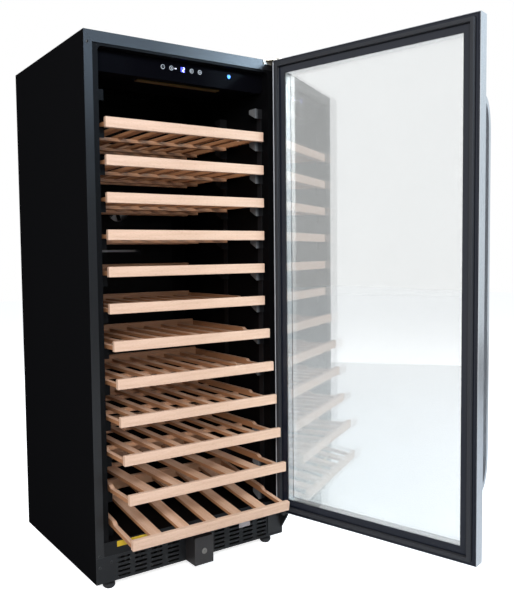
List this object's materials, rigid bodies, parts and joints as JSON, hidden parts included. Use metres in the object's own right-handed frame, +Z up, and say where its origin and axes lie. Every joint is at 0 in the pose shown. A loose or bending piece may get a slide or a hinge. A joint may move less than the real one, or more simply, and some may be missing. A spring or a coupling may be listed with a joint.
{
  "type": "wine cooler",
  "caption": "Full-height free-standing wine cooler with a hinged glass door, sliding slatted beech shelves, a control panel and a bottom lock.",
  "frame": {"origin": "middle of the base pan's underside, 28 mm above the floor that the feet stand on", "axes": "+Z up, the door side faces -Y, +X to the right seen from the front, where the hinges are"},
  "size_m": [0.9213, 1.3071, 1.648],
  "materials": {
    "cabinet_paint": "satin black powder coat",
    "grille_paint": "satin black powder coat",
    "zinc_steel": "zinc plated",
    "liner_plastic": "smooth black",
    "insulation": "rigid polyurethane foam",
    "rack_plastic": "grey, fine texture",
    "shelf_wood": "clear-coated beech",
    "control_gloss": "piano black",
    "button_plastic": "silver paint",
    "lens_blue": "blue, lit",
    "circuit_board": "green solder mask",
    "diffuser": "opal",
    "duct_plastic": "black, fine texture",
    "fan_plastic": "moulded",
    "bare_aluminium": "mill finish",
    "compressor_paint": "semi-gloss black",
    "foot_rubber": "matte",
    "gland_rubber": "matte",
    "hinge_paint": "satin black",
    "lock_paint": "satin black",
    "lock_steel": "plated",
    "door_stainless": "brushed stainless",
    "door_plastic": "smooth black",
    "gasket_rubber": "matte",
    "door_glass": "clear, faintly tinted",
    "bush_plastic": "acetal"
  },
  "bodies": {
    "cabinet": {"left_side_panel": "cabinet_paint", "right_side_panel": "cabinet_paint", "top_panel": "cabinet_paint", "back_panel": "cabinet_paint", "lower_face_panel": "cabinet_paint", "kick_plate": "grille_paint", "rear_grille": "grille_paint", "cord_gland": "gland_rubber", "base_pan": "zinc_steel", "left_base_rail": "zinc_steel", "right_base_rail": "zinc_steel", "front_left_foot": "foot_rubber", "rear_left_foot": "foot_rubber", "front_right_foot": "foot_rubber", "rear_right_foot": "foot_rubber", "inner_liner": "liner_plastic", "foam_insulation": "insulation", "left_shelf_rack": "rack_plastic", "right_shelf_rack": "rack_plastic", "control_housing": "control_gloss", "display_window": "control_gloss", "indicator_lens": "lens_blue", "control_board": "circuit_board", "interior_light": "diffuser", "duct_cover": "duct_plastic", "evaporator": "bare_aluminium", "condenser": "bare_aluminium", "compressor": "compressor_paint", "top_hinge_bracket": "zinc_steel", "bottom_hinge_bracket": "hinge_paint", "lock_housing": "lock_paint"},
    "door": {"door_frame": "door_stainless", "door_inner_frame": "door_plastic", "door_gasket": "gasket_rubber", "outer_glass": "door_glass", "inner_glass": "door_glass", "glass_spacer": "bare_aluminium", "door_handle": "door_stainless", "top_hinge_bush": "bush_plastic", "bottom_hinge_bush": "bush_plastic"},
    "shelf_1": {"shelf_1": "shelf_wood"},
    "shelf_2": {"shelf_2": "shelf_wood"},
    "shelf_3": {"shelf_3": "shelf_wood"},
    "shelf_4": {"shelf_4": "shelf_wood"},
    "shelf_5": {"shelf_5": "shelf_wood"},
    "shelf_6": {"shelf_6": "shelf_wood"},
    "shelf_7": {"shelf_7": "shelf_wood"},
    "shelf_8": {"shelf_8": "shelf_wood"},
    "shelf_9": {"shelf_9": "shelf_wood"},
    "shelf_10": {"shelf_10": "shelf_wood"},
    "shelf_11": {"shelf_11": "shelf_wood"},
    "shelf_12": {"shelf_12": "shelf_wood"},
    "light_button": {"light_button": "button_plastic"},
    "power_button": {"power_button": "button_plastic"},
    "warmer_button": {"warmer_button": "button_plastic"},
    "cooler_button": {"cooler_button": "button_plastic"},
    "lock_barrel": {"lock_barrel": "lock_steel"},
    "lock_bolt": {"lock_bolt": "lock_steel"},
    "circulation_fan": {"circulation_fan": "fan_plastic"},
    "condenser_fan": {"condenser_fan": "fan_plastic"}
  },
  "joints": [
    {"name": "door_hinge", "type": "hinge", "parent": "cabinet", "child": "door", "pos_m": [0.3324, -0.3377, 0.85], "axis": [0, 0, 1], "range_deg": [-105, 10]},
    {"name": "shelf_1_slide", "type": "slide", "parent": "cabinet", "child": "shelf_1", "axis": [0, -1, 0], "range_m": [0, 0.3]},
    {"name": "shelf_2_slide", "type": "slide", "parent": "cabinet", "child": "shelf_2", "axis": [0, -1, 0], "range_m": [0, 0.3]},
    {"name": "shelf_3_slide", "type": "slide", "parent": "cabinet", "child": "shelf_3", "axis": [0, -1, 0], "range_m": [0, 0.3]},
    {"name": "shelf_4_slide", "type": "slide", "parent": "cabinet", "child": "shelf_4", "axis": [0, -1, 0], "range_m": [0, 0.3]},
    {"name": "shelf_5_slide", "type": "slide", "parent": "cabinet", "child": "shelf_5", "axis": [0, -1, 0], "range_m": [0, 0.3]},
    {"name": "shelf_6_slide", "type": "slide", "parent": "cabinet", "child": "shelf_6", "axis": [0, -1, 0], "range_m": [0, 0.3]},
    {"name": "shelf_7_slide", "type": "slide", "parent": "cabinet", "child": "shelf_7", "axis": [0, -1, 0], "range_m": [-0.026, 0.274]},
    {"name": "shelf_8_slide", "type": "slide", "parent": "cabinet", "child": "shelf_8", "axis": [0, -1, 0], "range_m": [-0.045, 0.255]},
    {"name": "shelf_9_slide", "type": "slide", "parent": "cabinet", "child": "shelf_9", "axis": [0, -1, 0], "range_m": [-0.06, 0.24]},
    {"name": "shelf_10_slide", "type": "slide", "parent": "cabinet", "child": "shelf_10", "axis": [0, -1, 0], "range_m": [-0.08, 0.22]},
    {"name": "shelf_11_slide", "type": "slide", "parent": "cabinet", "child": "shelf_11", "axis": [0, -1, 0], "range_m": [-0.107, 0.193]},
    {"name": "shelf_12_slide", "type": "slide", "parent": "cabinet", "child": "shelf_12", "axis": [0, -0.9903, -0.1392], "range_m": [-0.121, 0.179]},
    {"name": "light_button_press", "type": "slide", "parent": "cabinet", "child": "light_button", "axis": [0, 1, 0], "range_m": [0, 0.001], "stiffness_N_per_m": 400},
    {"name": "power_button_press", "type": "slide", "parent": "cabinet", "child": "power_button", "axis": [0, 1, 0], "range_m": [0, 0.001], "stiffness_N_per_m": 400},
    {"name": "warmer_button_press", "type": "slide", "parent": "cabinet", "child": "warmer_button", "axis": [0, 1, 0], "range_m": [0, 0.001], "stiffness_N_per_m": 400},
    {"name": "cooler_button_press", "type": "slide", "parent": "cabinet", "child": "cooler_button", "axis": [0, 1, 0], "range_m": [0, 0.001], "stiffness_N_per_m": 400},
    {"name": "lock_turn", "type": "hinge", "parent": "cabinet", "child": "lock_barrel", "pos_m": [-0.008, -0.365, 0.042], "axis": [0, 1, 0], "range_deg": [0, 90]},
    {"name": "lock_bolt_lift", "type": "slide", "parent": "cabinet", "child": "lock_bolt", "axis": [0, 0, 1], "range_m": [0, 0.01]},
    {"name": "circulation_fan_spin", "type": "hinge", "parent": "cabinet", "child": "circulation_fan", "pos_m": [0, 0.245, 1.15], "axis": [0, 1, 0], "continuous": true},
    {"name": "condenser_fan_spin", "type": "hinge", "parent": "cabinet", "child": "condenser_fan", "pos_m": [-0.105, -0.166, 0.04], "axis": [0, 1, 0], "continuous": true}
  ],
  "couplings": [
    {"joint": "shelf_7_slide", "follows": "door_hinge", "m_per_rad": 0.014187},
    {"joint": "shelf_8_slide", "follows": "door_hinge", "m_per_rad": 0.024555},
    {"joint": "shelf_9_slide", "follows": "door_hinge", "m_per_rad": 0.03274},
    {"joint": "shelf_10_slide", "follows": "door_hinge", "m_per_rad": 0.043653},
    {"joint": "shelf_11_slide", "follows": "door_hinge", "m_per_rad": 0.058387},
    {"joint": "shelf_12_slide", "follows": "door_hinge", "m_per_rad": 0.066026},
    {"joint": "lock_turn", "follows": "lock_bolt_lift", "rad_per_m": 157}
  ]
}
